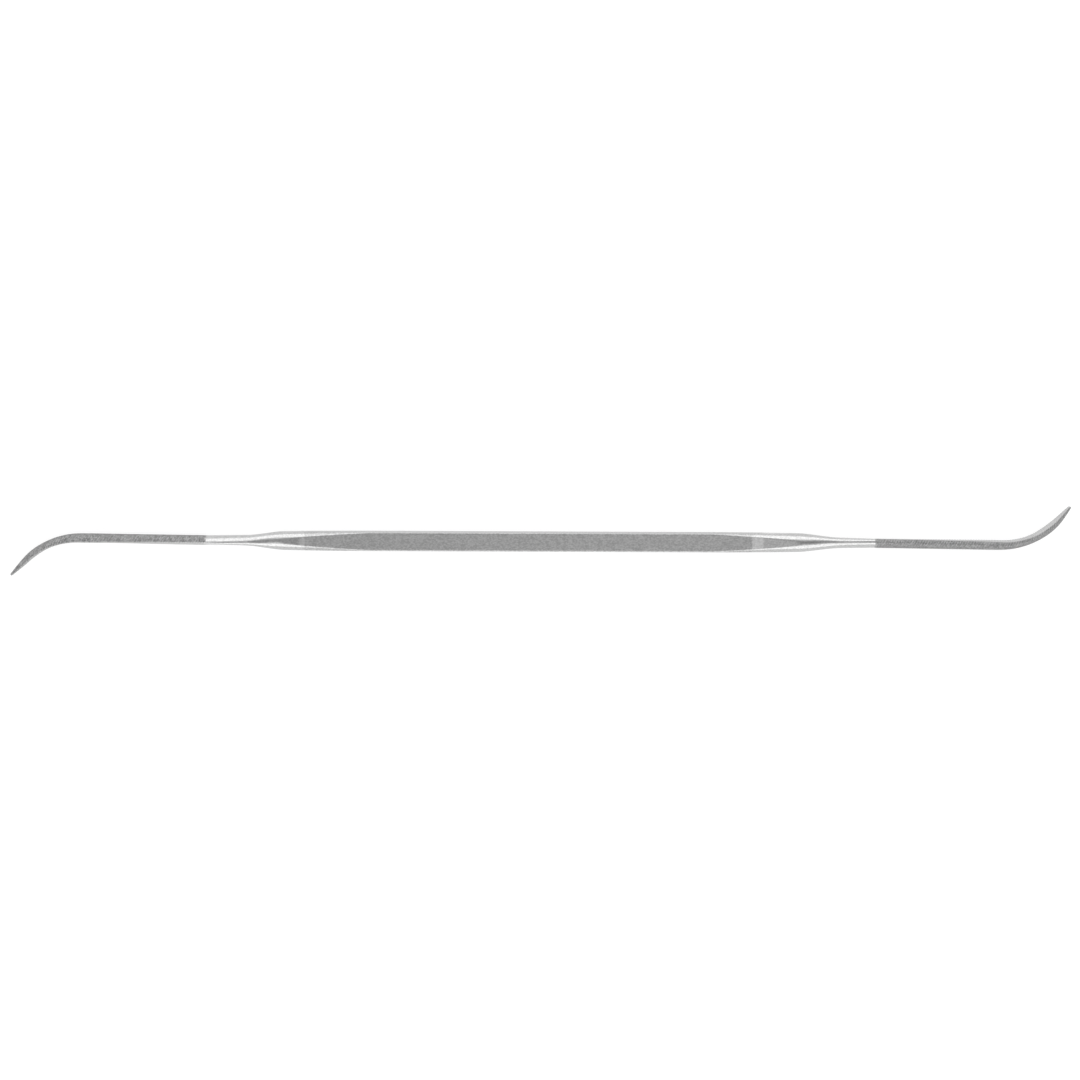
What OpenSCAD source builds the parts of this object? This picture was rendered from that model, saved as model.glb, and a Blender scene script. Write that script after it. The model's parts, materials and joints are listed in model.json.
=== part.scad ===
// Double-ended riffler file with an S shape, lying flat on its square grip.
// X runs along the grip and Z is up. The right end curls towards +Y and the left end towards -Y.
// The tool is one forged bar, modelled as seven zones that meet face to face where its form changes.

/* [Overall] */
// Distance from tip to tip along the grip
length = 180; // [150:1:216]
// How far the middle between the tips lies from the middle of the grip, towards the left
tip_offset = 0.12; // [0:0.02:1]

/* [Grip] */
// Length of the plain square bar in the middle
grip_length = 58; // [40:1:76]
// Width of the square bar across its flats
bar_width = 3.2; // [2.6:0.02:4]
// Rounding of the four long edges of the bar
edge_radius = 0.2; // [0.1:0.05:0.4]

/* [Shoulders] */
// Length of the slow taper that rounds off the edges of the bar
taper_length = 14; // [10:0.5:18]
// How far the round taper stands proud of the flats at its end
taper_rise = 0.05; // [0.02:0.01:0.06]
// Length past the taper over which the round shoulder sinks under the flats
shoulder_length = 1.5; // [1.3:0.1:2]

/* [Necks] */
// Length from the end of the taper to the start of the cut
neck_length = 13.7; // [12:0.1:18]
// How much thinner the neck gets with each millimetre towards the cut
neck_taper = 0.04; // [0:0.005:0.06]
// Length of the S-shaped drop of the left neck, which begins at the end of the taper
left_drop = 7; // [6:0.1:9]
// Length of the S-shaped drop of the right neck
right_drop = 8.2; // [6:0.1:9]

/* [Cut ends] */
// Radius of the rounded back of the half-round section
back_radius = 1.65; // [1.2:0.05:1.7]
// Thickness of the half-round section from its flat to its back, along the straight part
blade_thickness = 1.53; // [1.25:0.01:1.75]
// Thickness of the section from the middle of the bend on
bend_thickness = 1.15; // [0.9:0.01:1.3]
// Length before the bend at which the section starts to thin
thin_before = 2.7; // [1:0.1:5]
// Length past the start of the bend at which it is fully thinned
thin_after = 9.1; // [5:0.1:11]
// Rounding of the corners of the section from the middle of the bend on
bend_corner = 0.2; // [0.1:0.05:0.4]
// Length over which the tip runs out
tip_taper = 6.4; // [3:0.1:8]
// Share of its thickness that the section keeps at the tip
tip_share = 0.3; // [0.2:0.02:0.6]
// Distance by which the section is set from the axis of the bar towards its back
blade_offset = 0.07; // [0:0.01:0.15]
// Angle by which the straight part leans away from the bend
set_angle = 0.71; // [0:0.01:1.5]
// Radius of the bend
bend_radius = 12.9; // [9:0.05:16]

/* [Left end] */
// Direction of the left tip, from the axis of the bar
left_bend = 45.2; // [30:0.1:60]
// Straight length between the bend and the left tip
left_tip_length = 3.7; // [1:0.1:6]
// Rounding of the corners of the left section along the straight part
left_corner = 0.25; // [0.2:0.05:0.6]
// Turn of the left section about its own length where the cut starts, which lifts its flat
left_twist_start = 11.5; // [-15:0.5:15]
// Turn of the left section from the bend on
left_twist_end = 2; // [-15:0.5:15]

/* [Right end] */
// Direction of the right tip, from the axis of the bar
right_bend = 51.3; // [30:0.1:60]
// Straight length between the bend and the right tip
right_tip_length = 2.3; // [1:0.1:6]
// Rounding of the corners of the right section along the straight part
right_corner = 0.5; // [0.2:0.05:0.6]
// Turn of the right section about its own length where the cut starts, which lifts its flat
right_twist_start = -4; // [-15:0.5:15]
// Turn of the right section from the bend on
right_twist_end = 4; // [-15:0.5:15]

/* [Hidden] */

$fn = 64;
// Overlap past a face that a cut has to clear
past = 1;

bar_half = bar_width / 2;
edge_centre = bar_half - edge_radius;
corner_reach = edge_centre * sqrt(2) + edge_radius;

// Places along X where the zones meet
grip_end = grip_length / 2;
taper_end = grip_end + taper_length;
shoulder_end = taper_end + shoulder_length;
cut_start = taper_end + neck_length;

// Round taper, from clear of the bar's edges to just proud of its flats
corner_clearance = 0.02;
taper_start_radius = corner_reach + corner_clearance;
taper_end_radius = bar_half + taper_rise;
taper_slope = (taper_start_radius - taper_end_radius) / taper_length;
shoulder_steps = 4;

// Rings of the necks and cut ends
ring_points = 40;
neck_steps = 16;
straight_steps = 6;
curl_steps = 24;

// Outline of the square bar with rounded edges
module bar_outline() {
    square([bar_width, 2 * edge_centre], center = true);
    square([2 * edge_centre, bar_width], center = true);
    for (x = [-edge_centre, edge_centre], y = [-edge_centre, edge_centre])
        translate([x, y])
            circle(r = edge_radius);
}

// Length of square bar from x = from to x = to, centred on the X axis
module bar_piece(from, to) {
    translate([from, 0, 0])
        rotate([90, 0, 90])
            linear_extrude(height = to - from)
                bar_outline();
}

// Curve from 0 to 1 that starts and ends level
function ease(u) =
    let (v = min(1, max(0, u)))
        v * v * (3 - 2 * v);

// Half thickness of the thin neck at distance s past the taper, carried on inwards to the taper
function waist(s) = (blade_thickness + neck_taper * (neck_length - s)) / 2;

// Half thickness of a neck at distance s past the taper: the thin neck and an S-shaped drop to it
function half_thickness(s, drop) =
    waist(s) + (taper_end_radius - waist(0)) * (1 - ease(s / drop));

// Half outline of a turned shoulder as [radius, distance from the grip]
function shoulder_outline(drop) = concat(
    [[0, -past], [taper_start_radius + past * taper_slope, -past]],
    [
        for (i = [0 : shoulder_steps])
            let (s = shoulder_length * i / shoulder_steps)
                [half_thickness(s, drop), taper_length + s]
    ],
    [[0, taper_length + shoulder_length]]
);

// Bar whose edges run out into a round section
module shoulder(drop) {
    translate([0, 0, bar_half])
        intersection() {
            bar_piece(grip_end, shoulder_end);
            translate([grip_end, 0, 0])
                rotate([0, 90, 0])
                    rotate_extrude()
                        polygon(shoulder_outline(drop));
        }
}

// Point of a half-round section as [inward, up] from its middle. The section has a thickness, a back of
// radius back and two corners of radius corner; turn is the way the surface faces, 0 at the back.
function section_point(thickness, back, corner, turn) =
    let (
        corner_up = sqrt(max(0, (thickness - 2 * corner) * (2 * back - thickness))),
        on_corner = abs(turn) > atan2(corner_up, back + corner - thickness),
        radius = on_corner ? corner : back,
        centre = on_corner
            ? [thickness / 2 - corner, sign(turn) * corner_up]
            : [back - thickness / 2, 0]
    ) [centre[0] - radius * cos(turn), centre[1] + radius * sin(turn)];

// Ring of points of that section at a place on the middle line, which heads away from the X axis
function section_ring(place, heading, thickness, back, corner, twist) = [
    for (i = [0 : ring_points - 1])
        let (
            p = section_point(thickness, back, corner, 180 - 360 * (i + 0.5) / ring_points),
            inward = p[0] * cos(twist) - p[1] * sin(twist),
            up = p[0] * sin(twist) + p[1] * cos(twist)
        ) [place[0] - inward * sin(heading), place[1] + inward * cos(heading), bar_half + up]
];

// Closed body through rings of points
module loft(rings) {
    last = len(rings) - 1;
    sides = [
        for (j = [0 : last - 1], i = [0 : ring_points - 1])
            let (
                next = (i + 1) % ring_points,
                here = j * ring_points,
                ahead = here + ring_points
            )
                for (face = [[here + i, ahead + i, ahead + next], [here + i, ahead + next, here + next]])
                    face
    ];
    first_face = [for (i = [0 : ring_points - 1]) i];
    last_face = [for (i = [ring_points - 1 : -1 : 0]) last * ring_points + i];
    polyhedron(
        points = [for (ring = rings, point = ring) point],
        faces = concat([first_face, last_face], sides)
    );
}

// Neck of the end that curls towards +Y: round at the shoulder, half-round at the cut
module neck(drop, corner, twist) {
    loft([
        for (i = [0 : neck_steps])
            let (
                m = i / neck_steps,
                s = shoulder_length + (neck_length - shoulder_length) * m,
                half = half_thickness(s, drop)
            )
                section_ring(
                    [taper_end + s, -blade_offset * m], 0, 2 * half,
                    half + (back_radius - half) * m * (2 - m), half + (corner - half) * m, twist * m
                )
    ]);
}

// Lengths of the parts of a cut end's middle line
function bend_length(bend) = bend_radius * (bend + set_angle) * PI / 180;
function bend_reach(bend) = bend_radius * (sin(bend) + sin(set_angle));
function straight_length(reach, bend, tip_length) =
    (reach - cut_start - bend_reach(bend) - tip_length * cos(bend)) / cos(set_angle);

// Direction of the middle line at distance s past the start of the bend
function heading(s, bend) =
    min(bend, max(0, s) / bend_radius * 180 / PI - set_angle);

// Point of the middle line at distance s past the start of the bend
function middle_point(s, bend, straight) =
    let (
        a = heading(s, bend),
        ahead = straight + min(0, s),
        beyond = max(0, s - bend_length(bend))
    ) [
        cut_start + ahead * cos(set_angle) + bend_radius * (sin(a) + sin(set_angle)) + beyond * cos(a),
        -blade_offset - ahead * sin(set_angle) + bend_radius * (cos(set_angle) - cos(a)) + beyond * sin(a)
    ];

// Cut end that curls towards +Y: straight, then thinner and sharper along the bend, to a blunt tip.
// The tip lies at x = reach.
module cut_end(reach, bend, tip_length, corner, twist_start, twist_end) {
    straight = straight_length(reach, bend, tip_length);
    curled = bend_length(bend) + tip_length;
    stations = concat(
        [for (i = [0 : straight_steps - 1]) -straight + (straight - thin_before) * i / straight_steps],
        [for (i = [0 : curl_steps]) -thin_before + (curled + thin_before) * i / curl_steps]
    );
    loft([
        for (s = stations)
            let (
                u = ease((s + thin_before) / (thin_before + thin_after)),
                v = max(0, (s - curled + tip_taper) / tip_taper),
                k = 1 - (1 - tip_share) * v * v,
                w = min(1, 1 + s / straight),
                twist = twist_start + (twist_end - twist_start) * w * w
            )
                section_ring(
                    middle_point(s, bend, straight), s == stations[0] ? 0 : heading(s, bend),
                    k * (blade_thickness + (bend_thickness - blade_thickness) * u), k * back_radius,
                    k * (corner + (bend_corner - corner) * u), twist
                )
    ]);
}

module grip_bar() {
    color("darkgray")
        translate([0, 0, bar_half])
            bar_piece(-grip_end, grip_end);
}

module left_shoulder() {
    color("silver")
        rotate([0, 0, 180])
            shoulder(left_drop);
}

module left_neck() {
    color("gainsboro")
        rotate([0, 0, 180])
            neck(left_drop, left_corner, left_twist_start);
}

module left_cut_end() {
    color("gray")
        rotate([0, 0, 180])
            cut_end(
                length / 2 + tip_offset, left_bend, left_tip_length,
                left_corner, left_twist_start, left_twist_end
            );
}

module right_shoulder() {
    color("silver")
        shoulder(right_drop);
}

module right_neck() {
    color("gainsboro")
        neck(right_drop, right_corner, right_twist_start);
}

module right_cut_end() {
    color("gray")
        cut_end(
            length / 2 - tip_offset, right_bend, right_tip_length,
            right_corner, right_twist_start, right_twist_end
        );
}

grip_bar();
left_shoulder();
left_neck();
left_cut_end();
right_shoulder();
right_neck();
right_cut_end();
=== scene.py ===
"""Looks of a slender double-ended riffler file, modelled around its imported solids.

The tool lies flat on its square grip, with X along the grip and Z up. Sizes in the classes are in
millimetres and angles in degrees; meshes, lamps and the camera are in metres.
"""

import json
import logging
import math
from dataclasses import dataclass
from enum import Enum
from typing import Any

import bmesh
import bpy
import numpy as np
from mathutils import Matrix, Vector

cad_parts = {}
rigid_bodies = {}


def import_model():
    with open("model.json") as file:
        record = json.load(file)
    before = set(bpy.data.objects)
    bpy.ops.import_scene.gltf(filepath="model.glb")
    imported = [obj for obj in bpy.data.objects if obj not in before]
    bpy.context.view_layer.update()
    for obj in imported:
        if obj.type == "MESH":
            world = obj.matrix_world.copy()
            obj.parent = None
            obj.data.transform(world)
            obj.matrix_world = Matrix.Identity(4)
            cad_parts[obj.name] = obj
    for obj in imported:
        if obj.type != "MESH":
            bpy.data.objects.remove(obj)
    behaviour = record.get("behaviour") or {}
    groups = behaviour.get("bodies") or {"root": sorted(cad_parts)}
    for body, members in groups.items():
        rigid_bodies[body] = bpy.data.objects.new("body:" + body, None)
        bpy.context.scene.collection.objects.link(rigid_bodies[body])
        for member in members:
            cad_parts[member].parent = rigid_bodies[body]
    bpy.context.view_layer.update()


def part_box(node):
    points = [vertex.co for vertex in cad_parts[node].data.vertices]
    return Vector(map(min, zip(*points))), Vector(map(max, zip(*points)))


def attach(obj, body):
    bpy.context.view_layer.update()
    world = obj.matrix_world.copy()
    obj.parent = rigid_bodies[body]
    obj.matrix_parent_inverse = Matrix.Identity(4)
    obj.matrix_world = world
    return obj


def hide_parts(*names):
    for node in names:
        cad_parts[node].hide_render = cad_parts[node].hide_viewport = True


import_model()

MM = 0.001
WHITE = "#FFFFFF"
LOG = logging.getLogger("riffler")
Socket = bpy.types.NodeSocket


def linear(hex_colour: str) -> tuple[float, float, float, float]:
    """Turns an sRGB colour into the linear colour that the shader takes.

    Args:
        hex_colour: colour as "#RRGGBB".

    Returns:
        Linear red, green, blue and an alpha of 1.
    """
    channels = [int(hex_colour[i : i + 2], 16) / 255 for i in (1, 3, 5)]
    red, green, blue = (c / 12.92 if c <= 0.04045 else ((c + 0.055) / 1.055) ** 2.4 for c in channels)
    return red, green, blue, 1.0


def add_node(
    tree: bpy.types.NodeTree, kind: str, inputs: dict[Any, Any] | None = None, **settings: Any
) -> bpy.types.NodeOutputs:
    """Adds a node, sets its properties and fills its inputs.

    Args:
        tree: tree that the node goes into.
        kind: Blender's name of the node's type.
        inputs: a value, or the output socket to link, for each input's name or number.
        settings: the node's own properties.

    Returns:
        The new node's outputs.
    """
    node = tree.nodes.new(kind)
    for name, value in settings.items():
        setattr(node, name, value)
    for key, value in (inputs or {}).items():
        if isinstance(value, Socket):
            tree.links.new(value, node.inputs[key])
        else:
            node.inputs[key].default_value = value
    return node.outputs


def new_material(name: str) -> tuple[bpy.types.Material, bpy.types.NodeTree]:
    """Makes an empty node material.

    Args:
        name: name of the material and how its surface was made.

    Returns:
        The material and its node tree.
    """
    material = bpy.data.materials.new(name)
    material.use_nodes = True
    material.node_tree.nodes.clear()
    return material, material.node_tree


def new_object(name: str, data: bpy.types.ID) -> bpy.types.Object:
    """Makes an object and puts it in the scene.

    Args:
        name: name of the object.
        data: its mesh, lamp or camera.

    Returns:
        The new object.
    """
    made = bpy.data.objects.new(name, data)
    bpy.context.scene.collection.objects.link(made)
    return made


def loft(name: str, rings: np.ndarray) -> bpy.types.Object:
    """Makes a closed tube through rings of points, with a flat face on each end.

    Args:
        name: name of the new object.
        rings: points in millimetres, as rings by points by three; each ring turns the same way.

    Returns:
        The new object, with its place in its mesh.
    """
    count, points = rings.shape[:2]
    here = np.arange(count * points).reshape(count, points)
    beside = np.roll(here, -1, axis=1)
    quads = np.stack([here[:-1], beside[:-1], beside[1:], here[1:]], axis=-1).reshape(-1, 4)
    faces = quads.tolist() + here[[0, -1]].tolist()
    mesh = bpy.data.meshes.new(name)
    mesh.from_pydata((rings.reshape(-1, 3) * MM).tolist(), [], faces)
    close_and_smooth(mesh)
    return new_object(name, mesh)


def close_and_smooth(mesh: bpy.types.Mesh) -> None:
    """Turns a closed mesh's faces outwards and shades all but its end faces smooth.

    Args:
        mesh: mesh whose sides are made of quads.
    """
    shell = bmesh.new()
    shell.from_mesh(mesh)
    bmesh.ops.recalc_face_normals(shell, faces=shell.faces)
    for face in shell.faces:
        face.smooth = len(face.verts) <= 4
    for edge in shell.edges:
        edge.smooth = all(face.smooth for face in edge.link_faces)
    shell.to_mesh(mesh)
    shell.free()
    mesh.update()


def ease(share: np.ndarray) -> np.ndarray:
    """Gives a curve from 0 to 1 that starts and ends level.

    Args:
        share: distances along it, as shares.

    Returns:
        Height of the curve at each.
    """
    clipped = np.clip(share, 0, 1)
    return clipped * clipped * (3 - 2 * clipped)


class End(Enum):
    """The two ends of the tool, valued by the sign of X on their side."""

    LEFT = -1
    RIGHT = 1

    @property
    def word(self) -> str:
        """The end's word in the names of its nodes."""
        return self.name.lower()

    @property
    def side(self) -> np.ndarray:
        """Factors that turn a shape of the right end to this end."""
        return np.array([self.value, self.value, 1])


class Slot(Enum):
    """The record's material slots."""

    GROUND = "ground_steel"
    POLISHED = "polished_steel"
    CUT = "cut_steel"


class Part(Enum):
    """Lines that the tree of a cut end is given, valued by their number in the attribute "part"."""

    PATH = 0
    FIRST_SECTION = 1
    LAST_SECTION = 2


def dress(piece: bpy.types.Object, node: str, material: bpy.types.Material) -> bpy.types.Object:
    """Gives a finished piece its material and sets it in place of its CAD node.

    Args:
        piece: the finished piece.
        node: CAD node that the piece stands for.
        material: what its surface is made of.

    Returns:
        The piece.
    """
    piece.data.materials.clear()
    piece.data.materials.append(material)
    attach(piece, "root")
    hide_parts(node)
    return piece


@dataclass(frozen=True)
class EndSizes:
    """Sizes in which the two ends differ.

    Attributes:
        drop: length of the S-shaped drop of the neck, which begins at the end of the taper.
        reach: distance from the middle of the tool to the tip, along X.
        corner: rounding of the section's corners where the cut starts.
        bend: direction of the tip from the axis of the bar.
        tip_length: straight length between the bend and the tip.
        twist_start: turn of the section about its own length where the cut starts, which lifts its flat.
        twist_end: turn of the section from the bend on.
        painted_highlight: how far a painted highlight lightens its flat, where the cut starts and from the
            bend on.
        upper_flat: turns from the back between which its upper corner comes to count as the flat and takes
            its painted highlight.
        mottle: levels of the mottling of its cut, as its steel takes them.
        band: where the satin band on the shoulder begins, starts to fade and ends, from the tool's middle.
        satin: roughness of that band.
    """

    drop: float
    reach: float
    corner: float
    bend: float
    tip_length: float
    twist_start: float
    twist_end: float
    painted_highlight: tuple[float, float]
    upper_flat: tuple[float, float]
    mottle: tuple[float, float]
    band: tuple[float, float, float]
    satin: float


@dataclass(frozen=True)
class BarSteel:
    """Bare carbon tool steel of the bar: ground along the grip, polished along the turned necks.

    The ground flats look evenly grey and finely grained, and the necks mirror the room in light and dark
    streaks. The finishes meet in a narrow satin band on the flats, which scatters more light than either.

    Attributes:
        name: name of the material.
        ground_tones: colours between the grinding marks and on top of them, where the steel is ground.
        polished_tones: the same where the steel is polished.
        ground: roughness of the ground steel.
        polished: roughness of the polished steel.
        satin: roughness of the satin band.
        band: where the band begins, starts to fade and ends, from the middle of the tool.
        band_edge: half the width over which the band begins.
        flat_facing: cosines of the turn from the bar's sides between which a surface comes to count as flat.
        grain_width: width of a grinding mark.
        grain_length: length of a grinding mark.
        grain_depth: depth of a grinding mark.
        grain_levels: heights of the grain between which the colour goes from one tone to the other.
    """

    name: str
    ground_tones: tuple[str, str] = ("#AAAAAA", "#C6C6C6")
    polished_tones: tuple[str, str] = ("#BABABA", "#CCCCCC")
    ground: float = 0.3
    polished: float = 0.17
    satin: float = 0.5
    band: tuple[float, float, float] = (39.0, 40.0, 41.0)
    band_edge: float = 0.15
    flat_facing: tuple[float, float] = (0.97, 0.99)
    # real grinding marks are about 0.02 mm wide; these are drawn about ten times as wide so that they show
    grain_width: float = 0.22
    grain_length: float = 0.32
    grain_depth: float = 0.0015
    grain_levels: tuple[float, float] = (0.36, 0.64)

    def material(self) -> bpy.types.Material:
        """Builds the material.

        Returns:
            The material.
        """
        material, tree = new_material(self.name)
        where = add_node(tree, "ShaderNodeTexCoord")
        place = where["Object"]
        stretch = [1 / (size * MM) for size in (self.grain_length, self.grain_width, self.grain_width)]
        lines = add_node(tree, "ShaderNodeMapping", {"Vector": place, "Scale": stretch})[0]
        grain = add_node(tree, "ShaderNodeTexNoise", {"Vector": lines, "Scale": 1.0})[0]
        bump = add_node(tree, "ShaderNodeBump", {"Height": grain, "Distance": self.grain_depth * MM})[0]
        along = add_node(tree, "ShaderNodeSeparateXYZ", {"Vector": place})["X"]
        distance = add_node(tree, "ShaderNodeMath", {0: along}, operation="ABSOLUTE")[0]
        facing = add_node(tree, "ShaderNodeVectorMath", {0: where["Normal"]}, operation="ABSOLUTE")[0]
        sides = add_node(tree, "ShaderNodeSeparateXYZ", {"Vector": facing})
        squarest = add_node(tree, "ShaderNodeMath", {0: sides["Y"], 1: sides["Z"]}, operation="MAXIMUM")[0]
        start, fade, end = self.band
        shade, on_flat, past_start, past_end = (
            add_node(tree, "ShaderNodeMapRange", {"Value": value, "From Min": low, "From Max": high})[0]
            for value, low, high in (
                (grain, *self.grain_levels),
                (squarest, *self.flat_facing),
                (distance, (start - self.band_edge) * MM, (start + self.band_edge) * MM),
                (distance, fade * MM, end * MM),
            )
        )
        tones = [
            add_node(tree, "ShaderNodeMix", {0: shade, 6: linear(low), 7: linear(high)}, data_type="RGBA")[2]
            for low, high in (self.ground_tones, self.polished_tones)
        ]
        colour = add_node(
            tree, "ShaderNodeMix", {0: past_start, 6: tones[0], 7: tones[1]}, data_type="RGBA"
        )[2]
        in_band = add_node(tree, "ShaderNodeMath", {0: past_start, 1: past_end}, operation="SUBTRACT")[0]
        dulled = add_node(tree, "ShaderNodeMath", {0: in_band, 1: on_flat}, operation="MULTIPLY")[0]
        finish = add_node(
            tree, "ShaderNodeMapRange", {"Value": past_start, "To Min": self.ground, "To Max": self.polished}
        )[0]
        roughness = add_node(
            tree, "ShaderNodeMix", {0: dulled, 2: finish, 3: self.satin}, data_type="FLOAT"
        )[0]
        shader = add_node(
            tree,
            "ShaderNodeBsdfPrincipled",
            {"Base Color": colour, "Metallic": 1.0, "Roughness": roughness, "Normal": bump},
        )
        add_node(tree, "ShaderNodeOutputMaterial", {"Surface": shader[0]})
        return material


@dataclass(frozen=True)
class CutSteel:
    """Hardened tool steel with its teeth cut: dull grey with a fine mottling, and a painted highlight on its
    flat.

    Attributes:
        name: name of the material.
        mottle: levels of the mottling between which the colour goes from the valleys' to the crests'.
        crest: colour of the tops of the teeth.
        valley: colour between the teeth.
        crest_roughness: roughness of the tops of the teeth.
        valley_roughness: roughness between the teeth.
        flat: colour of the painted highlight on the flat.
        streak_height: height of the teeth from which the flat takes its painted highlight in full, as a
            share.
        streak_floor: how much of that painted highlight the flat keeps between the teeth.
        facet_size: size of a tooth's face, each of which catches the light its own way.
        facet_share: share of those faces in the mottling; the rest follows the height of the teeth.
    """

    name: str
    mottle: tuple[float, float]
    crest: str = "#C8C8C8"
    valley: str = "#747474"
    crest_roughness: float = 0.5
    valley_roughness: float = 0.75
    # colour of the painted highlight on the flat
    flat: str = "#DADADA"
    streak_height: float = 0.7
    streak_floor: float = 0.3
    # a tooth's real faces are finer; these are drawn as coarse as they need to show
    facet_size: float = 0.2
    facet_share: float = 0.75

    def material(self) -> bpy.types.Material:
        """Builds the material.

        Returns:
            The material.
        """
        material, tree = new_material(self.name)
        place = add_node(tree, "ShaderNodeTexCoord")["Object"]
        height, flat, painted_highlight = (
            add_node(tree, "ShaderNodeAttribute", attribute_name=name)["Fac"]
            for name in ("crest", "flat", "painted_highlight")
        )
        # painted highlight: the flat is painted lighter by the amount given along the path, most on the tops
        # of the teeth
        painted_flat = add_node(tree, "ShaderNodeMath", {0: flat, 1: painted_highlight}, operation="MULTIPLY")[0]
        streaks = add_node(
            tree,
            "ShaderNodeMapRange",
            {"Value": height, "From Max": self.streak_height, "To Min": self.streak_floor},
        )[0]
        on_flat = add_node(tree, "ShaderNodeMath", {0: painted_flat, 1: streaks}, operation="MULTIPLY")[0]
        facets = add_node(
            tree, "ShaderNodeTexVoronoi", {"Vector": place, "Scale": 1 / (self.facet_size * MM)}
        )["Color"]
        mixed = add_node(
            tree, "ShaderNodeMix", {0: self.facet_share, 2: height, 3: facets}, data_type="FLOAT"
        )[0]
        darkest, lightest = self.mottle
        share = add_node(
            tree, "ShaderNodeMapRange", {"Value": mixed, "From Min": darkest, "From Max": lightest}
        )[0]
        valley, crest, bright = (linear(colour) for colour in (self.valley, self.crest, self.flat))
        toothed = add_node(tree, "ShaderNodeMix", {0: share, 6: valley, 7: crest}, data_type="RGBA")[2]
        colour = add_node(tree, "ShaderNodeMix", {0: on_flat, 6: toothed, 7: bright}, data_type="RGBA")[2]
        roughness = add_node(
            tree,
            "ShaderNodeMapRange",
            {"Value": height, "To Min": self.valley_roughness, "To Max": self.crest_roughness},
        )[0]
        shader = add_node(
            tree, "ShaderNodeBsdfPrincipled", {"Base Color": colour, "Metallic": 1.0, "Roughness": roughness}
        )
        add_node(tree, "ShaderNodeOutputMaterial", {"Surface": shader[0]})
        return material


@dataclass(frozen=True)
class HalfRound:
    """Half-round section with rounded corners.

    Attributes:
        thickness: from the flat to the back.
        back: radius of the rounded back.
        corner: radius of the two corners.
    """

    thickness: float
    back: float
    corner: float

    def outline(self, count: int, twist: float) -> np.ndarray:
        """Gives points around the section, from its lower corner over its back to its upper corner.

        Args:
            count: number of points.
            twist: turn of the section about its own length.

        Returns:
            Distances inward and up from the middle of the section, as rows of two.
        """
        turn = math.pi * ((2 * np.arange(count) + 1) / count - 1)
        squared = (self.thickness - 2 * self.corner) * (2 * self.back - self.thickness)
        corner_up = math.sqrt(max(0.0, squared))
        on_corner = np.abs(turn) > math.atan2(corner_up, self.back + self.corner - self.thickness)
        radius = np.where(on_corner, self.corner, self.back)
        middle = np.where(on_corner, self.thickness / 2 - self.corner, self.back - self.thickness / 2)
        inward = middle - radius * np.cos(turn)
        up = np.where(on_corner, np.sign(turn) * corner_up, 0.0) + radius * np.sin(turn)
        cosine, sine = math.cos(math.radians(twist)), math.sin(math.radians(twist))
        return np.stack([inward * cosine - up * sine, inward * sine + up * cosine], axis=-1)


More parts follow.
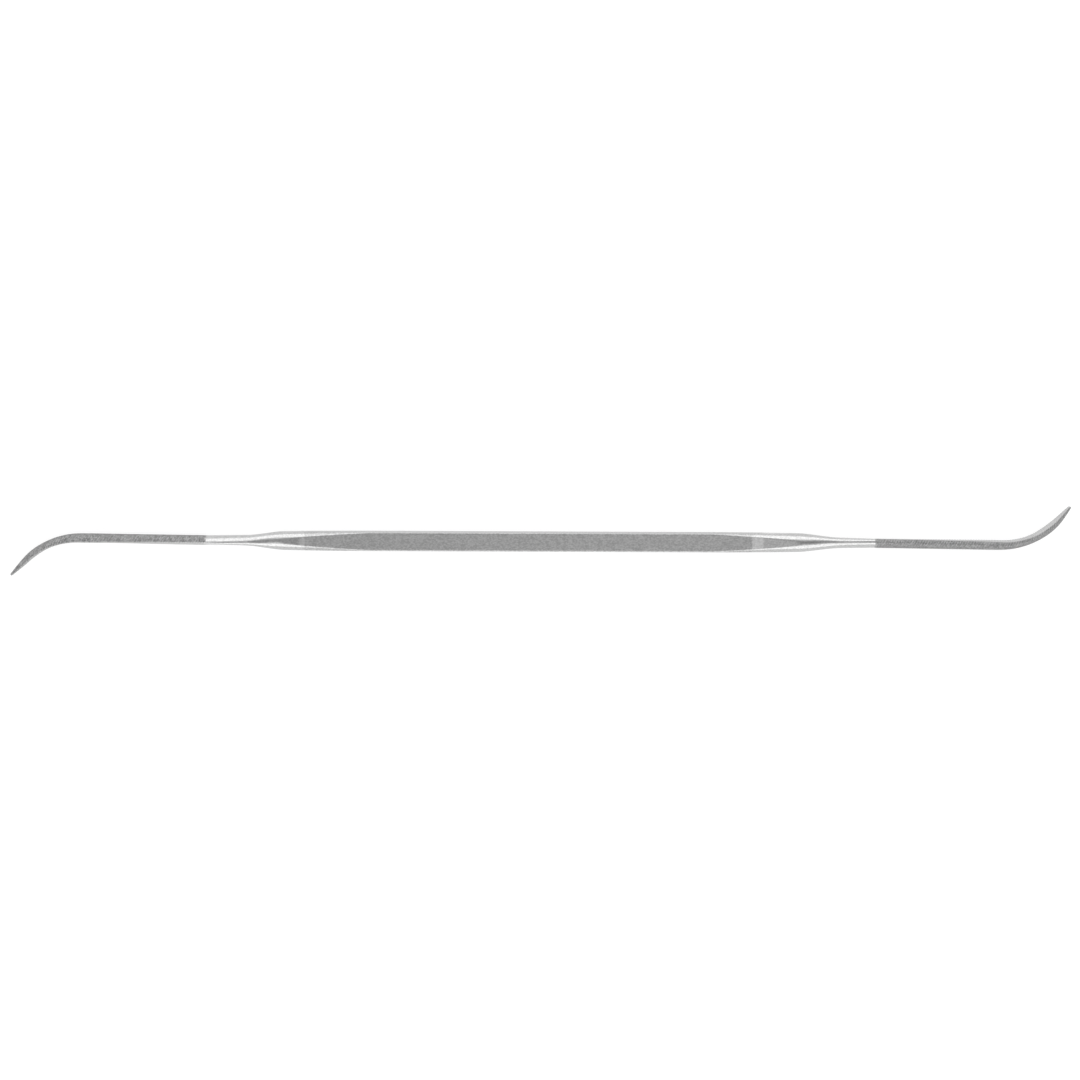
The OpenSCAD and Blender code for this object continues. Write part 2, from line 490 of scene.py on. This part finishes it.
@dataclass(frozen=True)
class BarForm:
    """Sizes of the square bar and of the shoulders and necks that it runs into.

    Attributes:
        half: half the width of the bar.
        grip_end: distance from the middle of the tool to the end of the grip.
        edge_radius: rounding of the bar's long edges.
        corner_clearance: how far the round taper starts clear of those edges.
        taper_length: length of the slow taper that rounds them off.
        taper_rise: how far the round taper stands proud of the flats at its end.
        shoulder_length: length past the taper over which the round shoulder sinks under the flats.
        neck_length: length from the end of the taper to the start of the cut.
        neck_taper: how much thinner the neck gets with each millimetre towards the cut.
        offset: how far the cut ends are set from the axis of the bar towards their backs.
        back: radius of the rounded back of the half-round section.
        thickness: thickness of the section where the cut starts.
        bend_thickness: thickness of the section from the middle of the bend on.
        bend_corner: rounding of its corners from the middle of the bend on.
        crispness: power that rounds the edge between a flat and the taper; higher is sharper.
        ring_points: points in a ring.
    """

    half: float
    grip_end: float
    edge_radius: float = 0.2
    corner_clearance: float = 0.02
    taper_length: float = 14.0
    taper_rise: float = 0.05
    shoulder_length: float = 1.5
    neck_length: float = 13.7
    neck_taper: float = 0.04
    offset: float = 0.07
    back: float = 1.65
    thickness: float = 1.53
    bend_thickness: float = 1.15
    bend_corner: float = 0.2
    crispness: float = 80.0
    ring_points: int = 256

    @property
    def corner_reach(self) -> float:
        """Distance from the axis of the bar to its rounded edges."""
        return (self.half - self.edge_radius) * math.sqrt(2) + self.edge_radius

    @property
    def taper_end(self) -> float:
        """Distance from the middle of the tool to the end of the taper."""
        return self.grip_end + self.taper_length

    @property
    def shoulder_end(self) -> float:
        """Distance from the middle of the tool to the end of the shoulder."""
        return self.taper_end + self.shoulder_length

    @property
    def cut_start(self) -> float:
        """Distance from the middle of the tool to the start of the cut."""
        return self.taper_end + self.neck_length

    def taper(self, stations: np.ndarray) -> np.ndarray:
        """Gives the radius of the slow round taper.

        Args:
            stations: distances from the middle of the tool.

        Returns:
            Radius at each distance.
        """
        start, end = self.corner_reach + self.corner_clearance, self.half + self.taper_rise
        return end + (end - start) * (stations - self.taper_end) / self.taper_length

    def half_thickness(self, past: np.ndarray, drop: float) -> np.ndarray:
        """Gives half the thickness of a neck: a thin taper and an S-shaped drop to it.

        Args:
            past: distances past the end of the taper.
            drop: length of the drop.

        Returns:
            Half the thickness at each distance.
        """
        thin = (self.thickness + self.neck_taper * (self.neck_length - past)) / 2
        fall = self.half + self.taper_rise - (self.thickness + self.neck_taper * self.neck_length) / 2
        return thin + fall * (1 - ease(past / drop))

    def bar_rings(self, stations: np.ndarray, turned: np.ndarray) -> np.ndarray:
        """Gives the rings of the square bar and of its round taper.

        A ring is the distance from the axis to the nearer of the two surfaces that bound it, the sides
        of the bar and the taper. A high power of those distances rounds the edge where they meet.

        Args:
            stations: distances from the middle of the tool.
            turned: radius of the turned surface at each.

        Returns:
            Points in millimetres, as rings by points by three.
        """
        turn = np.linspace(0, 2 * math.pi, self.ring_points, endpoint=False)[None, :]
        edge_power = math.log(2) / math.log(math.sqrt(2) * self.half / self.corner_reach)
        cosine, sine = np.cos(turn), np.sin(turn)
        across = (np.abs(cosine) ** edge_power + np.abs(sine) ** edge_power) ** (1 / edge_power)
        nearness = (across / self.half) ** self.crispness + turned[:, None] ** -self.crispness
        distance = nearness ** (-1 / self.crispness)
        x = np.broadcast_to(stations[:, None], distance.shape)
        return np.stack([x, distance * cosine, self.half + distance * sine], axis=-1)

    def neck_rings(self, count: int, sizes: EndSizes) -> np.ndarray:
        """Gives the rings of a neck, round at its shoulder and half-round at its cut.

        Args:
            count: number of rings.
            sizes: sizes of its end.

        Returns:
            Points in millimetres, as rings by points by three.
        """
        rings = []
        for share in np.linspace(0, 1, count):
            past = self.shoulder_length + (self.neck_length - self.shoulder_length) * share
            half = float(self.half_thickness(past, sizes.drop))
            # the back opens out early, the corners close evenly
            back = half + (self.back - half) * share * (2 - share)
            corner = half + (sizes.corner - half) * share
            section = HalfRound(2 * half, back, corner)
            inward, up = section.outline(self.ring_points, sizes.twist_start * share).T
            x = np.full(self.ring_points, self.taper_end + past)
            rings.append(np.stack([x, inward - self.offset * share, self.half + up], axis=-1))
        return np.array(rings)


@dataclass
class GripBar:
    """The plain square bar in the middle, held in the fingers.

    Attributes:
        form: sizes of the bar.
        finish: its steel.
        ring_step: distance between rings.
    """

    form: BarForm
    finish: BarSteel
    ring_step: float = 0.4

    def build(self) -> bpy.types.Object:
        """Builds and dresses the grip.

        Returns:
            The finished piece.
        """
        steps = round(self.form.grip_end / self.ring_step)
        stations = np.linspace(0, self.form.grip_end, steps + 1)
        right = self.form.bar_rings(stations, self.form.taper(stations))
        # the left half mirrors the right one, without its middle ring
        left = right[:0:-1] * np.array([-1, 1, 1])
        piece = loft("grip", np.concatenate([left, right]))
        return dress(piece, "grip_bar", self.finish.material())


@dataclass
class TurnedPiece:
    """What the shoulder and the neck of one end share.

    Attributes:
        end: which end of the tool.
        form: sizes of the bar, the taper and the neck.
        sizes: sizes of its end.
        finish: its steel.
        ring_step: distance between rings.
    """

    end: End
    form: BarForm
    sizes: EndSizes
    finish: BarSteel
    ring_step: float = 0.1


@dataclass
class Shoulder(TurnedPiece):
    """The slow taper of one end, where the edges of the bar run out into a round section."""

    def build(self) -> bpy.types.Object:
        """Builds and dresses the shoulder.

        Returns:
            The finished piece.
        """
        form = self.form
        steps = round((form.shoulder_end - form.grip_end) / self.ring_step)
        stations = np.linspace(form.grip_end, form.shoulder_end, steps + 1)
        past = stations - form.taper_end
        turned = np.where(past < 0, form.taper(stations), form.half_thickness(past, self.sizes.drop))
        piece = loft(f"shoulder_{self.end.word}", form.bar_rings(stations, turned) * self.end.side)
        return dress(piece, f"{self.end.word}_shoulder", self.finish.material())


@dataclass
class Neck(TurnedPiece):
    """The drop and the thin neck of one end."""

    def build(self) -> bpy.types.Object:
        """Builds and dresses the neck.

        Returns:
            The finished piece.
        """
        steps = round((self.form.cut_start - self.form.shoulder_end) / self.ring_step)
        piece = loft(f"neck_{self.end.word}", self.form.neck_rings(steps + 1, self.sizes) * self.end.side)
        return dress(piece, f"{self.end.word}_neck", self.finish.material())


@dataclass(frozen=True)
class TeethCut:
    """Fine double cut of a riffler.

    Attributes:
        pitch: distance between teeth along the length.
        depth: depth of the first, deeper row of cuts.
        up_angle: slant of the deeper cuts from square across.
        over_angle: slant of the shallower cuts the other way.
        over_share: depth of the shallower cuts, as a share of the deeper ones.
        run_in: length over which the cut reaches its depth.
        wander: how far the rows wander, as a share of the pitch.
        seed: seed of that wander.
    """

    # real teeth of such a cut are about 0.3 mm apart; these are drawn coarser so that they show
    pitch: float = 0.45
    depth: float = 0.08
    up_angle: float = 30.0
    over_angle: float = 40.0
    over_share: float = 0.6
    run_in: float = 0.5
    wander: float = 0.6
    seed: int = 7


class CutTree:
    """Geometry Nodes tree that sweeps the half-round section along a path and cuts the teeth in it.

    Attributes:
        PATCHES: patches of wander to the pitch of a tooth.
        DETAIL: layers of finer wander on top of those patches.
        UNEVEN: how far the depth of the cut varies, and its least, as shares.
        RAISED: share of the depth by which the teeth stand above the smooth body.
        SOCKETS: names and types of the tree's inputs.
    """

    PATCHES: float = 0.5
    DETAIL: float = 1.0
    UNEVEN: tuple[float, float] = (0.6, 0.7)
    RAISED: float = 0.5
    SOCKETS: dict[str, str] = {
        "Lines": "Geometry",
        "Ring Points": "Int",
        "Tooth Pitch": "Float",
        "Tooth Depth": "Float",
        "Up Slant": "Float",
        "Over Slant": "Float",
        "Over Share": "Float",
        "Run In": "Float",
        "Wander": "Float",
        "Seed": "Float",
        "Steel": "Material",
    }

    def __init__(self) -> None:
        """Builds the tree and keeps the identifiers of its inputs."""
        self.tree = bpy.data.node_groups.new("half_round_with_teeth", "GeometryNodeTree")
        sockets = self.tree.interface
        self.ids = {
            name: sockets.new_socket(name, in_out="INPUT", socket_type=f"NodeSocket{kind}").identifier
            for name, kind in self.SOCKETS.items()
        }
        sockets.new_socket("Geometry", in_out="OUTPUT", socket_type="NodeSocketGeometry")
        self.given = add_node(self.tree, "NodeGroupInput")
        cut = self.with_teeth(self.swept_body())
        real = add_node(self.tree, "GeometryNodeRealizeInstances", {"Geometry": cut})[0]
        steel = add_node(
            self.tree, "GeometryNodeSetMaterial", {"Geometry": real, "Material": self.given["Steel"]}
        )[0]
        add_node(self.tree, "NodeGroupOutput", {"Geometry": steel})

    def line(self, part: Part) -> Socket:
        """Takes one of the given lines as a curve.

        Args:
            part: which line.

        Returns:
            The curve.
        """
        number = add_node(self.tree, "GeometryNodeInputNamedAttribute", {"Name": "part"})[0]
        # within half a step of the line's number
        chosen = add_node(
            self.tree, "ShaderNodeMath", {0: number, 1: float(part.value), 2: 0.5}, operation="COMPARE"
        )[0]
        kept = add_node(
            self.tree,
            "GeometryNodeSeparateGeometry",
            {"Geometry": self.given["Lines"], "Selection": chosen},
            domain="POINT",
        )[0]
        return add_node(self.tree, "GeometryNodeMeshToCurve", {"Mesh": kept})[0]

    def swept(self, path: Socket, part: Part) -> Socket:
        """Sweeps one section along the path.

        Args:
            path: the middle line.
            part: line of the section.

        Returns:
            The closed body.
        """
        tree, count = self.tree, self.given["Ring Points"]
        closed = add_node(
            tree, "GeometryNodeSetSplineCyclic", {"Geometry": self.line(part), "Cyclic": True}
        )[0]
        even = add_node(tree, "GeometryNodeResampleCurve", {"Curve": closed, "Count": count})[0]
        length = add_node(tree, "GeometryNodeSplineParameter")["Length"]
        section = add_node(
            tree, "GeometryNodeStoreNamedAttribute", {"Geometry": even, "Name": "around", "Value": length}
        )[0]
        size = add_node(tree, "GeometryNodeInputNamedAttribute", {"Name": "size"})[0]
        return add_node(
            tree,
            "GeometryNodeCurveToMesh",
            {"Curve": path, "Profile Curve": section, "Scale": size, "Fill Caps": True},
        )[0]

    def swept_body(self) -> Socket:
        """Sweeps the half-round section along the path, from its first to its last form.

        Returns:
            The closed body, with the attributes "along" and "around" in metres.
        """
        tree = self.tree
        twist, change = (
            add_node(tree, "GeometryNodeInputNamedAttribute", {"Name": name})[0]
            for name in ("twist", "change")
        )
        upright = add_node(
            tree, "GeometryNodeSetCurveNormal", {"Curve": self.line(Part.PATH)}, mode="Z_UP"
        )[0]
        turned = add_node(tree, "GeometryNodeSetCurveTilt", {"Curve": upright, "Tilt": twist})[0]
        # a mark on the path would hide the one on the sections
        unmarked = add_node(tree, "GeometryNodeRemoveAttribute", {"Geometry": turned, "Name": "flat"})[0]
        length = add_node(tree, "GeometryNodeSplineParameter")["Length"]
        path = add_node(
            tree, "GeometryNodeStoreNamedAttribute", {"Geometry": unmarked, "Name": "along", "Value": length}
        )[0]
        first, last = self.swept(path, Part.FIRST_SECTION), self.swept(path, Part.LAST_SECTION)
        place = add_node(tree, "GeometryNodeInputPosition")[0]
        index = add_node(tree, "GeometryNodeInputIndex")[0]
        there = add_node(
            tree,
            "GeometryNodeSampleIndex",
            {0: last, 1: place, "Index": index},
            data_type="FLOAT_VECTOR",
            domain="POINT",
        )[0]
        between = add_node(tree, "ShaderNodeMix", {0: change, 4: place, 5: there}, data_type="VECTOR")[1]
        return add_node(tree, "GeometryNodeSetPosition", {"Geometry": first, "Position": between})[0]

    def with_teeth(self, body: Socket) -> Socket:
        """Cuts two crossing rows of teeth into the surface.

        Args:
            body: the smooth body.

        Returns:
            The cut body, with the height of its teeth in the attribute "crest".
        """
        tree, given, pitch = self.tree, self.given, self.given["Tooth Pitch"]
        along, around, size = (
            add_node(tree, "GeometryNodeInputNamedAttribute", {"Name": name})[0]
            for name in ("along", "around", "size")
        )
        place = add_node(tree, "GeometryNodeInputPosition")[0]
        patches = add_node(tree, "ShaderNodeMath", {0: self.PATCHES, 1: pitch}, operation="DIVIDE")[0]
        noise = add_node(
            tree,
            "ShaderNodeTexNoise",
            {"Vector": place, "W": given["Seed"], "Scale": patches, "Detail": self.DETAIL},
            noise_dimensions="4D",
        )[0]
        drift = add_node(tree, "ShaderNodeMath", {0: noise, 1: given["Wander"]}, operation="MULTIPLY")[0]
        rows = []
        for slant in (given["Up Slant"], given["Over Slant"]):
            line = add_node(
                tree, "ShaderNodeMath", {0: around, 1: slant, 2: along}, operation="MULTIPLY_ADD"
            )[0]
            passed = add_node(tree, "ShaderNodeMath", {0: line, 1: pitch}, operation="DIVIDE")[0]
            phase = add_node(tree, "ShaderNodeMath", {0: passed, 1: drift}, operation="ADD")[0]
            # a zigzag from 0 to 1 and back within each pitch
            zigzag = add_node(tree, "ShaderNodeMath", {0: phase, 1: 0.5}, operation="PINGPONG")[0]
            rows.append(add_node(tree, "ShaderNodeMath", {0: zigzag, 1: 2.0}, operation="MULTIPLY")[0])
        over = add_node(
            tree, "ShaderNodeMath", {0: rows[1], 1: given["Over Share"]}, operation="MULTIPLY"
        )[0]
        groove = add_node(tree, "ShaderNodeMath", {0: rows[0], 1: over}, operation="MAXIMUM")[0]
        eased = add_node(
            tree,
            "ShaderNodeMapRange",
            {"Value": along, "From Max": given["Run In"]},
            interpolation_type="SMOOTHSTEP",
        )[0]
        varied, least = self.UNEVEN
        uneven = add_node(
            tree, "ShaderNodeMath", {0: noise, 1: varied, 2: least}, operation="MULTIPLY_ADD"
        )[0]
        share = add_node(tree, "ShaderNodeMath", {0: eased, 1: uneven}, operation="MULTIPLY")[0]
        deep = add_node(tree, "ShaderNodeMath", {0: groove, 1: share}, operation="MULTIPLY")[0]
        crest = add_node(tree, "ShaderNodeMath", {0: 1.0, 1: deep}, operation="SUBTRACT")[0]
        marked = add_node(
            tree, "GeometryNodeStoreNamedAttribute", {"Geometry": body, "Name": "crest", "Value": crest}
        )[0]
        height = add_node(
            tree, "ShaderNodeMath", {0: given["Tooth Depth"], 1: size}, operation="MULTIPLY"
        )[0]
        raised = add_node(tree, "ShaderNodeMath", {0: eased, 1: self.RAISED}, operation="MULTIPLY")[0]
        above = add_node(tree, "ShaderNodeMath", {0: raised, 1: deep}, operation="SUBTRACT")[0]
        outwards = add_node(tree, "ShaderNodeMath", {0: above, 1: height}, operation="MULTIPLY")[0]
        normal = add_node(tree, "GeometryNodeInputNormal")[0]
        push = add_node(tree, "ShaderNodeVectorMath", {0: normal, "Scale": outwards}, operation="SCALE")[0]
        return add_node(tree, "GeometryNodeSetPosition", {"Geometry": marked, "Offset": push})[0]


@dataclass
class CutEnd:
    """One half-round end with its teeth, curled to a blunt tip.

    Attributes:
        end: which end of the tool.
        form: sizes of the bar and the sections of the cut ends.
        sizes: sizes of this end.
        set_angle: angle by which the straight part leans away from the bend.
        bend_radius: radius of the bend.
        thin_before: length before the bend at which the section starts to thin.
        thin_after: length past the start of the bend at which it is fully thinned.
        tip_taper: length over which the tip runs out.
        tip_share: share of its thickness that the section keeps at the tip.
        tip_end: how far into its rounding the tip is drawn; at 1 its last ring would be a point.
        lower_flat: turns from the back between which the lower corner comes to count as the flat and takes
            its painted highlight.
        ring_step: distance between rings along the end.
        ring_points: points in a ring.
        outline_points: points in the outline of a section that the rings are taken from.
        teeth: the cut.
    """

    end: End
    form: BarForm
    sizes: EndSizes
    set_angle: float = 0.71
    bend_radius: float = 12.9
    thin_before: float = 2.7
    thin_after: float = 9.1
    tip_taper: float = 6.4
    tip_share: float = 0.3
    tip_end: float = 0.995
    lower_flat: tuple[float, float] = (90.0, 120.0)
    ring_step: float = 0.056
    ring_points: int = 116
    outline_points: int = 240
    teeth: TeethCut = TeethCut()

    def path(self) -> dict[str, np.ndarray]:
        """Gives the middle line of the end and how the section changes along it.

        Returns:
            Points in millimetres, as rows of three, and at each the section's size, as a share, how far it
            has changed from its first to its last form, how far it is turned, in radians, and how far a
            painted highlight lightens its flat.
        """
        sizes, form = self.sizes, self.form
        bend, lean = math.radians(sizes.bend), math.radians(self.set_angle)
        bend_length = self.bend_radius * (bend + lean)
        bend_reach = self.bend_radius * (math.sin(bend) + math.sin(lean))
        curl_reach = bend_reach + sizes.tip_length * math.cos(bend)
        straight = (sizes.reach - form.cut_start - curl_reach) / math.cos(lean)
        curled = bend_length + sizes.tip_length
        distance = np.linspace(-straight, curled, round((straight + curled) / self.ring_step) + 1)
        heading = np.minimum(bend, np.maximum(0, distance) / self.bend_radius - lean)
        ahead = straight + np.minimum(0, distance)
        beyond = np.maximum(0, distance - bend_length)
        x = form.cut_start + ahead * math.cos(lean) + beyond * np.cos(heading)
        x += self.bend_radius * (np.sin(heading) + math.sin(lean))
        y = -form.offset - ahead * math.sin(lean) + beyond * np.sin(heading)
        y += self.bend_radius * (math.cos(lean) - np.cos(heading))
        run_out = np.clip((distance - curled + self.tip_taper) / self.tip_taper, 0, 1)
        rounding = self.tip_share * form.bend_thickness / 2
        into_tip = np.clip((distance - curled + rounding) / rounding, 0, self.tip_end)
        # the turn and the painted highlight on the flat change slowly at first and are done at the bend
        turned = (ahead / straight) ** 2
        return {
            "points": np.stack([x, y, np.full_like(x, form.half)], axis=-1) * self.end.side,
            "size": (1 - (1 - self.tip_share) * run_out**2) * np.sqrt(1 - into_tip**2),
            "change": ease((distance + self.thin_before) / (self.thin_before + self.thin_after)),
            "twist": np.radians(sizes.twist_start + (sizes.twist_end - sizes.twist_start) * turned),
            "painted_highlight": sizes.painted_highlight[0] + (sizes.painted_highlight[1] - sizes.painted_highlight[0]) * turned,
        }

    def lines(self, name: str) -> bpy.types.Object:
        """Makes the object that the tree starts from: the path and two sections, as plain lines.

        Args:
            name: name of the object.

        Returns:
            The object, in the scene.
        """
        path, form, count = self.path(), self.form, self.outline_points
        turn = np.linspace(180, -180, count)
        lower = np.interp(-turn, self.lower_flat, (0, 1))
        upper = np.interp(turn, self.sizes.upper_flat, (0, 1))
        flat = np.where(turn < 0, lower, upper)
        on_path, on_sections = np.zeros(len(path["size"])), np.zeros(2 * count)
        sections = (
            HalfRound(form.thickness, form.back, self.sizes.corner),
            HalfRound(form.bend_thickness, form.back, form.bend_corner),
        )
        outlines = [np.pad(-section.outline(count, 0.0)[::-1], ((0, 0), (0, 1))) for section in sections]
        part = np.repeat([part.value for part in Part], [len(on_path), count, count])
        edges = [(i, i + 1) for i in range(len(part) - 1) if part[i] == part[i + 1]]
        mesh = bpy.data.meshes.new(f"{name}_lines")
        mesh.from_pydata((np.concatenate([path["points"], *outlines]) * MM).tolist(), edges, [])
        values = {
            "part": part,
            "size": np.append(path["size"], on_sections + 1),
            **{key: np.append(path[key], on_sections) for key in ("change", "twist", "painted_highlight")},
            "flat": np.concatenate([on_path, flat, flat]),
        }
        for attribute, numbers in values.items():
            mesh.attributes.new(attribute, "FLOAT", "POINT").data.foreach_set("value", numbers.astype(float))
        return new_object(name, mesh)

    def build(self, tree: CutTree, finish: CutSteel) -> bpy.types.Object:
        """Builds and dresses the cut end.

        Args:
            tree: tree that sweeps and cuts it.
            finish: its steel.

        Returns:
            The finished piece.
        """
        name = f"cut_end_{self.end.word}"
        piece = self.lines(name)
        material = finish.material()
        values = {
            "Ring Points": self.ring_points,
            "Tooth Pitch": self.teeth.pitch * MM,
            "Tooth Depth": self.teeth.depth * MM,
            "Up Slant": math.tan(math.radians(self.teeth.up_angle)),
            "Over Slant": -math.tan(math.radians(self.teeth.over_angle)),
            "Over Share": self.teeth.over_share,
            "Run In": self.teeth.run_in * MM,
            "Wander": self.teeth.wander,
            "Seed": float(self.teeth.seed),
            "Steel": material,
        }
        modifier = piece.modifiers.new("cut", "NODES")
        modifier.node_group = tree.tree
        for socket, value in values.items():
            modifier[tree.ids[socket]] = value
        graph = bpy.context.evaluated_depsgraph_get()
        mesh = bpy.data.meshes.new_from_object(
            piece.evaluated_get(graph), preserve_all_data_layers=True, depsgraph=graph
        )
        piece.modifiers.clear()
        piece.data = mesh
        mesh.name = name
        close_and_smooth(mesh)
        return dress(piece, f"{self.end.word}_cut_end", material)


@dataclass
class Studio:
    """White table, soft boxes on both long sides and a camera almost straight above.

    Attributes:
        camera_distance: distance from the camera to the tool.
        camera_tilt: angle of the camera from the vertical, towards +Y.
        camera_roll: turn of the camera about its own axis.
        frame_width: width of the picture at the tool.
        aim: point of the tool's frame that the camera looks at.
        table_size: width of the square table.
        table_grey: colour of the table under light, which the shadow shows in.
        table_glow: light of the table itself towards the camera, up to white.
        table_sheen: light of the table itself towards the steel, up to white.
        box_length: length of a soft box, along the tool.
        box_width: width of a soft box.
        box_distance: distance of a soft box from the tool.
        box_angle: angle of a soft box from the camera's axis.
        box_glow: brightness of a soft box over the white room behind it.
        ceiling: tones of the ceiling around the camera, from -X to +X.
        ceiling_inner: angle from the camera's axis within which the ceiling has those tones in full.
        ceiling_outer: angle from the camera's axis at which the room is white.
        ceiling_changes: angles from the vertical, towards +X, between which one tone goes over to the next.
    """

    camera_distance: float = 450.0
    camera_tilt: float = 6.0
    camera_roll: float = 0.23
    frame_width: float = 183.5
    aim: tuple[float, float, float] = (-0.1, 0.26, 1.6)
    table_size: float = 6000.0
    table_grey: str = "#969696"
    table_glow: float = 0.78
    table_sheen: float = 0.7
    box_length: float = 1600.0
    box_width: float = 600.0
    box_distance: float = 800.0
    box_angle: float = 60.0
    box_glow: float = 0.7
    ceiling: tuple[str, ...] = ("#AEAEAE", "#FFFFFF", "#9C9C9C")
    ceiling_inner: float = 12.0
    ceiling_outer: float = 36.0
    ceiling_changes: tuple[tuple[float, float], ...] = ((-2.0, 2.0), (2.0, 9.0))

    def build(self) -> None:
        """Sets up the table, the room, the lamps and the camera."""
        self.table()
        self.room()
        for side in (-1, 1):
            self.soft_box(side)
        self.camera()
        bpy.context.scene.view_settings.view_transform = "Standard"

    def camera_axis(self) -> Vector:
        """Direction from the tool to the camera."""
        tilt = math.radians(self.camera_tilt)
        return Vector((0, math.sin(tilt), math.cos(tilt)))

    def table(self) -> None:
        """Makes the table: matt white card, on which only the tool's soft shadow shows."""
        half = self.table_size / 2 * MM
        mesh = bpy.data.meshes.new("table")
        corners = [(-half, -half, 0.0), (half, -half, 0.0), (half, half, 0.0), (-half, half, 0.0)]
        mesh.from_pydata(corners, [], [(0, 1, 2, 3)])
        top = new_object("table", mesh)
        material, tree = new_material("white_table")
        path = add_node(tree, "ShaderNodeLightPath")
        mirrored = add_node(
            tree,
            "ShaderNodeMath",
            {0: path["Is Glossy Ray"], 1: path["Is Transmission Ray"]},
            operation="MAXIMUM",
        )[0]
        sheen = add_node(tree, "ShaderNodeMath", {0: mirrored, 1: self.table_sheen}, operation="MULTIPLY")[0]
        glow = add_node(
            tree,
            "ShaderNodeMath",
            {0: path["Is Camera Ray"], 1: self.table_glow, 2: sheen},
            operation="MULTIPLY_ADD",
        )[0]
        light = add_node(tree, "ShaderNodeEmission", {"Color": linear(WHITE), "Strength": glow})[0]
        matt = add_node(tree, "ShaderNodeBsdfDiffuse", {"Color": linear(self.table_grey)})[0]
        both = add_node(tree, "ShaderNodeAddShader", {0: light, 1: matt})[0]
        add_node(tree, "ShaderNodeOutputMaterial", {"Surface": both})
        mesh.materials.append(material)

    def room(self) -> None:
        """Makes the white room and the tones of its ceiling, seen as plain white by the camera."""
        world = bpy.data.worlds.new("room")
        bpy.context.scene.world = world
        world.use_nodes = True
        tree = world.node_tree
        tree.nodes.clear()
        direction = add_node(tree, "ShaderNodeTexCoord")["Generated"]
        up = add_node(
            tree, "ShaderNodeVectorMath", {0: direction, 1: self.camera_axis()}, operation="DOT_PRODUCT"
        )["Value"]
        outer, inner = (math.cos(math.radians(angle)) for angle in (self.ceiling_outer, self.ceiling_inner))
        overhead = add_node(
            tree,
            "ShaderNodeMapRange",
            {"Value": up, "From Min": outer, "From Max": inner},
            interpolation_type="SMOOTHSTEP",
        )[0]
        along = add_node(tree, "ShaderNodeSeparateXYZ", {"Vector": direction})["X"]
        tone: Any = linear(self.ceiling[0])
        for next_tone, angles in zip(self.ceiling[1:], self.ceiling_changes):
            start, end = (math.sin(math.radians(angle)) for angle in angles)
            past = add_node(
                tree, "ShaderNodeMapRange", {"Value": along, "From Min": start, "From Max": end}
            )[0]
            tone = add_node(
                tree, "ShaderNodeMix", {0: past, 6: tone, 7: linear(next_tone)}, data_type="RGBA"
            )[2]
        seen = add_node(tree, "ShaderNodeLightPath")["Is Camera Ray"]
        share = add_node(
            tree, "ShaderNodeMath", {0: overhead, 1: seen}, operation="SUBTRACT", use_clamp=True
        )[0]
        colour = add_node(tree, "ShaderNodeMix", {0: share, 6: linear(WHITE), 7: tone}, data_type="RGBA")[2]
        sky = add_node(tree, "ShaderNodeBackground", {"Color": colour})[0]
        add_node(tree, "ShaderNodeOutputWorld", {"Surface": sky})

    def soft_box(self, side: int) -> None:
        """Hangs a long soft box beside the tool.

        Args:
            side: sign of Y on its side.
        """
        lamp = bpy.data.lights.new("soft_box", "AREA")
        lamp.shape = "RECTANGLE"
        lamp.size = self.box_length * MM
        lamp.size_y = self.box_width * MM
        lamp.energy = self.box_glow * math.pi * lamp.size * lamp.size_y
        angle = math.radians(self.box_angle + side * self.camera_tilt)
        box = new_object("soft_box", lamp)
        box.location = Vector((0, side * math.sin(angle), math.cos(angle))) * self.box_distance * MM
        box.rotation_euler = (-side * angle, 0, 0)
        box.visible_camera = False

    def camera(self) -> None:
        """Sets the camera at the photograph's angle."""
        camera = bpy.data.cameras.new("camera")
        camera.lens = camera.sensor_width * self.camera_distance / self.frame_width
        holder = new_object("camera", camera)
        holder.location = (Vector(self.aim) + self.camera_axis() * self.camera_distance) * MM
        holder.rotation_mode = "ZYX"
        holder.rotation_euler = (-math.radians(self.camera_tilt), 0, math.radians(self.camera_roll))
        bpy.context.scene.camera = holder


def main() -> None:
    """Builds the tool and its studio, and reports each piece."""
    logging.basicConfig(level=logging.INFO)
    grip_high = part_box("grip_bar")[1]
    form = BarForm(half=grip_high.z / MM / 2, grip_end=grip_high.x / MM)
    # the painted highlight on the flats fades towards the left tip and is full towards the right one
    ends = {
        End.LEFT: EndSizes(
            drop=7.0,
            reach=90.12,
            corner=0.25,
            bend=45.2,
            tip_length=3.7,
            twist_start=11.5,
            twist_end=2.0,
            painted_highlight=(0.85, 0.4),
            upper_flat=(90.0, 125.0),
            mottle=(0.15, 1.07),
            band=(40.0, 40.1, 41.3),
            satin=0.42,
        ),
        End.RIGHT: EndSizes(
            drop=8.2,
            reach=89.88,
            corner=0.5,
            bend=51.3,
            tip_length=2.3,
            twist_start=-4.0,
            twist_end=4.0,
            painted_highlight=(0.85, 1.0),
            upper_flat=(160.0, 180.0),
            mottle=(0.02, 1.28),
            band=(35.8, 37.5, 38.2),
            satin=0.55,
        ),
    }
    pieces = [GripBar(form, BarSteel("ground_tool_steel")).build()]
    tree = CutTree()
    for end, sizes in ends.items():
        ground = BarSteel(f"ground_tool_steel_{end.word}", band=sizes.band, satin=sizes.satin)
        pieces.append(Shoulder(end, form, sizes, ground).build())
        polished = BarSteel(f"polished_tool_steel_{end.word}", band=sizes.band)
        pieces.append(Neck(end, form, sizes, polished).build())
        hardened = CutSteel(f"hardened_cut_tool_steel_{end.word}", mottle=sizes.mottle)
        pieces.append(CutEnd(end, form, sizes).build(tree, hardened))
    for piece in pieces:
        triangles = sum(len(p.vertices) - 2 for p in piece.data.polygons)
        LOG.info("%s: %d triangles", piece.name, triangles)
    Studio().build()


if __name__ == "__main__":
    main()
